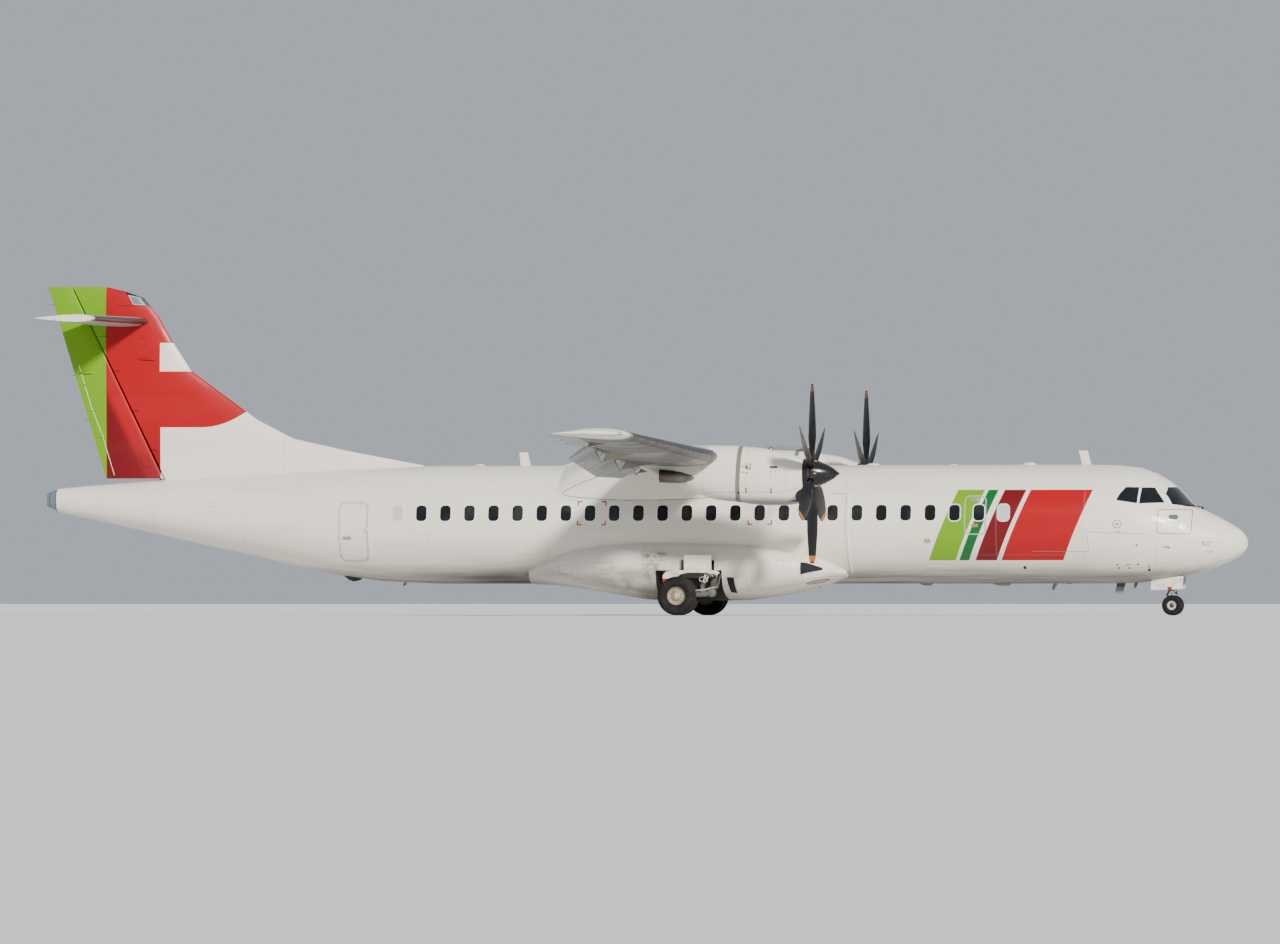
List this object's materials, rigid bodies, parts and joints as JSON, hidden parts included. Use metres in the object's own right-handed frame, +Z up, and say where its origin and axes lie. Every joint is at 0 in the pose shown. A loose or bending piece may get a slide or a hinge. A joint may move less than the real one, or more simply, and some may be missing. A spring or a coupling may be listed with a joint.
{
  "type": "turboprop airliner",
  "caption": "High-wing twin turboprop airliner with a T tail, parked on its landing gear, with turning propellers and wheels, steering, doors, flaps and control surfaces.",
  "frame": {"origin": "on the ground under the middle of the overall length, on the centre plane", "axes": "+X forward to the nose, +Y to port, +Z up"},
  "size_m": [27.166, 27.05, 7.39],
  "materials": {
    "white_paint": "gloss warm white paint, dirtier underneath",
    "grey_paint": "satin grey paint",
    "white_composite": "gloss warm white paint on composite fairings",
    "grey_composite": "satin grey paint on composite tail surfaces",
    "red_composite": "gloss red paint on a composite fin",
    "green_composite": "gloss green paint on a composite rudder",
    "black_paint": "satin black paint",
    "cockpit_glass": "dark tinted glass",
    "exhaust_steel": "heat-stained steel",
    "engine_metal": "plain cast metal",
    "gear_paint": "light grey gear paint with grease",
    "wheel_metal": "worn aluminium with brake dust",
    "tyre_rubber": "worn black rubber"
  },
  "bodies": {
    "airframe": {"engine_left": "engine_metal", "engine_right": "engine_metal", "exhaust_left": "exhaust_steel", "exhaust_right": "exhaust_steel", "fin": "red_composite", "fuselage_centre": "white_paint", "fuselage_nose": "white_paint", "fuselage_rear": "white_paint", "main_gear_door_left": "white_paint", "main_gear_door_right": "white_paint", "main_leg_left": "gear_paint", "main_leg_right": "gear_paint", "main_trailing_arm_left": "gear_paint", "main_trailing_arm_right": "gear_paint", "nacelle_left": "white_composite", "nacelle_right": "white_composite", "nose_gear_door_left": "white_paint", "nose_gear_door_right": "white_paint", "nose_leg": "gear_paint", "radome": "white_composite", "side_windows_left": "cockpit_glass", "side_windows_right": "cockpit_glass", "sponson_left": "white_composite", "sponson_right": "white_composite", "tail_cap": "grey_composite", "tailplane": "grey_composite", "windscreen_left": "cockpit_glass", "windscreen_right": "cockpit_glass", "wing_centre": "grey_paint", "wing_fairing": "white_composite", "wing_outer_left": "grey_paint", "wing_outer_right": "grey_paint"},
    "propeller_left": {"propeller_blades_left": "black_paint", "spinner_left": "black_paint"},
    "propeller_right": {"propeller_blades_right": "black_paint", "spinner_right": "black_paint"},
    "main_wheel_pair_left": {"main_wheels_left": "wheel_metal", "main_tyre_left_inner": "tyre_rubber", "main_tyre_left_outer": "tyre_rubber"},
    "main_wheel_pair_right": {"main_wheels_right": "wheel_metal", "main_tyre_right_inner": "tyre_rubber", "main_tyre_right_outer": "tyre_rubber"},
    "nose_fork": {"nose_fork": "gear_paint"},
    "nose_wheel_pair": {"nose_wheels": "wheel_metal", "nose_tyre_left": "tyre_rubber", "nose_tyre_right": "tyre_rubber"},
    "passenger_door": {"passenger_door": "white_paint"},
    "cargo_door": {"cargo_door": "white_paint"},
    "service_door": {"service_door": "white_paint"},
    "rudder": {"rudder": "green_composite"},
    "elevator_left": {"elevator_left": "grey_composite"},
    "elevator_right": {"elevator_right": "grey_composite"},
    "aileron_left": {"aileron_left": "grey_paint"},
    "aileron_right": {"aileron_right": "grey_paint"},
    "flap_inner_left": {"flap_inner_left": "grey_paint"},
    "flap_inner_right": {"flap_inner_right": "grey_paint"},
    "flap_outer_left": {"flap_outer_left": "grey_paint"},
    "flap_outer_right": {"flap_outer_right": "grey_paint"}
  },
  "joints": [
    {"name": "propeller_left_spin", "type": "hinge", "parent": "airframe", "child": "propeller_left", "pos_m": [4.449, 4.05, 3.112], "axis": [1, 0, 0], "continuous": true},
    {"name": "propeller_right_spin", "type": "hinge", "parent": "airframe", "child": "propeller_right", "pos_m": [4.449, -4.05, 3.112], "axis": [1, 0, 0], "continuous": true},
    {"name": "main_wheels_left_roll", "type": "hinge", "parent": "airframe", "child": "main_wheel_pair_left", "pos_m": [1.148, 2.05, 0.432], "axis": [0, 1, 0], "continuous": true},
    {"name": "main_wheels_right_roll", "type": "hinge", "parent": "airframe", "child": "main_wheel_pair_right", "pos_m": [1.148, -2.05, 0.432], "axis": [0, 1, 0], "continuous": true},
    {"name": "nose_steering", "type": "hinge", "parent": "airframe", "child": "nose_fork", "pos_m": [11.913, 0, 0.6], "axis": [0, 0, 1], "range_deg": [-60, 60]},
    {"name": "nose_wheels_roll", "type": "hinge", "parent": "nose_fork", "child": "nose_wheel_pair", "pos_m": [11.913, 0, 0.225], "axis": [0, 1, 0], "continuous": true},
    {"name": "passenger_door_hinge", "type": "hinge", "parent": "airframe", "child": "passenger_door", "pos_m": [-6.45, 0.976, 1.188], "axis": [-0.9792, -0.2028, 0], "range_deg": [0, 130]},
    {"name": "cargo_door_hinge", "type": "hinge", "parent": "airframe", "child": "cargo_door", "pos_m": [9.19, 1.222, 2.696], "axis": [1, 0, 0], "range_deg": [0, 115]},
    {"name": "service_door_hinge", "type": "hinge", "parent": "airframe", "child": "service_door", "pos_m": [-6.004, -1.39, 1.925], "axis": [0, 0, 1], "range_deg": [0, 110]},
    {"name": "rudder_hinge", "type": "hinge", "parent": "airframe", "child": "rudder", "pos_m": [-10.95, 0, 3], "axis": [-0.434, 0, 0.9009], "range_deg": [-25, 25]},
    {"name": "elevator_left_hinge", "type": "hinge", "parent": "airframe", "child": "elevator_left", "pos_m": [-12.57887, 0.26, 6.6], "axis": [-0.0262, 0.9997, 0], "range_deg": [-13, 23]},
    {"name": "elevator_right_hinge", "type": "hinge", "parent": "airframe", "child": "elevator_right", "pos_m": [-12.57887, -0.26, 6.6], "axis": [0.0262, 0.9997, 0], "range_deg": [-13, 23]},
    {"name": "aileron_left_hinge", "type": "hinge", "parent": "airframe", "child": "aileron_left", "pos_m": [0.57471, 9.65, 3.69987], "axis": [0.0218, 0.9985, 0.0497], "range_deg": [-14, 14]},
    {"name": "aileron_right_hinge", "type": "hinge", "parent": "airframe", "child": "aileron_right", "pos_m": [0.57471, -9.65, 3.69987], "axis": [-0.0218, 0.9985, -0.0497], "range_deg": [-14, 14]},
    {"name": "flap_inner_left_hinge", "type": "hinge", "parent": "airframe", "child": "flap_inner_left", "pos_m": [0.46051, 1.57, 3.11669], "axis": [0, 1, 0], "range_deg": [-5, 30]},
    {"name": "flap_inner_right_hinge", "type": "hinge", "parent": "airframe", "child": "flap_inner_right", "pos_m": [0.46051, -1.57, 3.11669], "axis": [0, 1, 0], "range_deg": [-5, 30]},
    {"name": "flap_outer_left_hinge", "type": "hinge", "parent": "airframe", "child": "flap_outer_left", "pos_m": [0.46143, 4.93, 3.1189], "axis": [0.0232, 0.9983, 0.0531], "range_deg": [-5, 30]},
    {"name": "flap_outer_right_hinge", "type": "hinge", "parent": "airframe", "child": "flap_outer_right", "pos_m": [0.46143, -4.93, 3.1189], "axis": [-0.0232, 0.9983, -0.0531], "range_deg": [-5, 30]}
  ],
  "couplings": [
    {"joint": "elevator_right_hinge", "follows": "elevator_left_hinge", "ratio": 1},
    {"joint": "aileron_right_hinge", "follows": "aileron_left_hinge", "ratio": -1},
    {"joint": "flap_inner_right_hinge", "follows": "flap_inner_left_hinge", "ratio": 1},
    {"joint": "flap_outer_left_hinge", "follows": "flap_inner_left_hinge", "ratio": 1},
    {"joint": "flap_outer_right_hinge", "follows": "flap_inner_left_hinge", "ratio": 1}
  ]
}
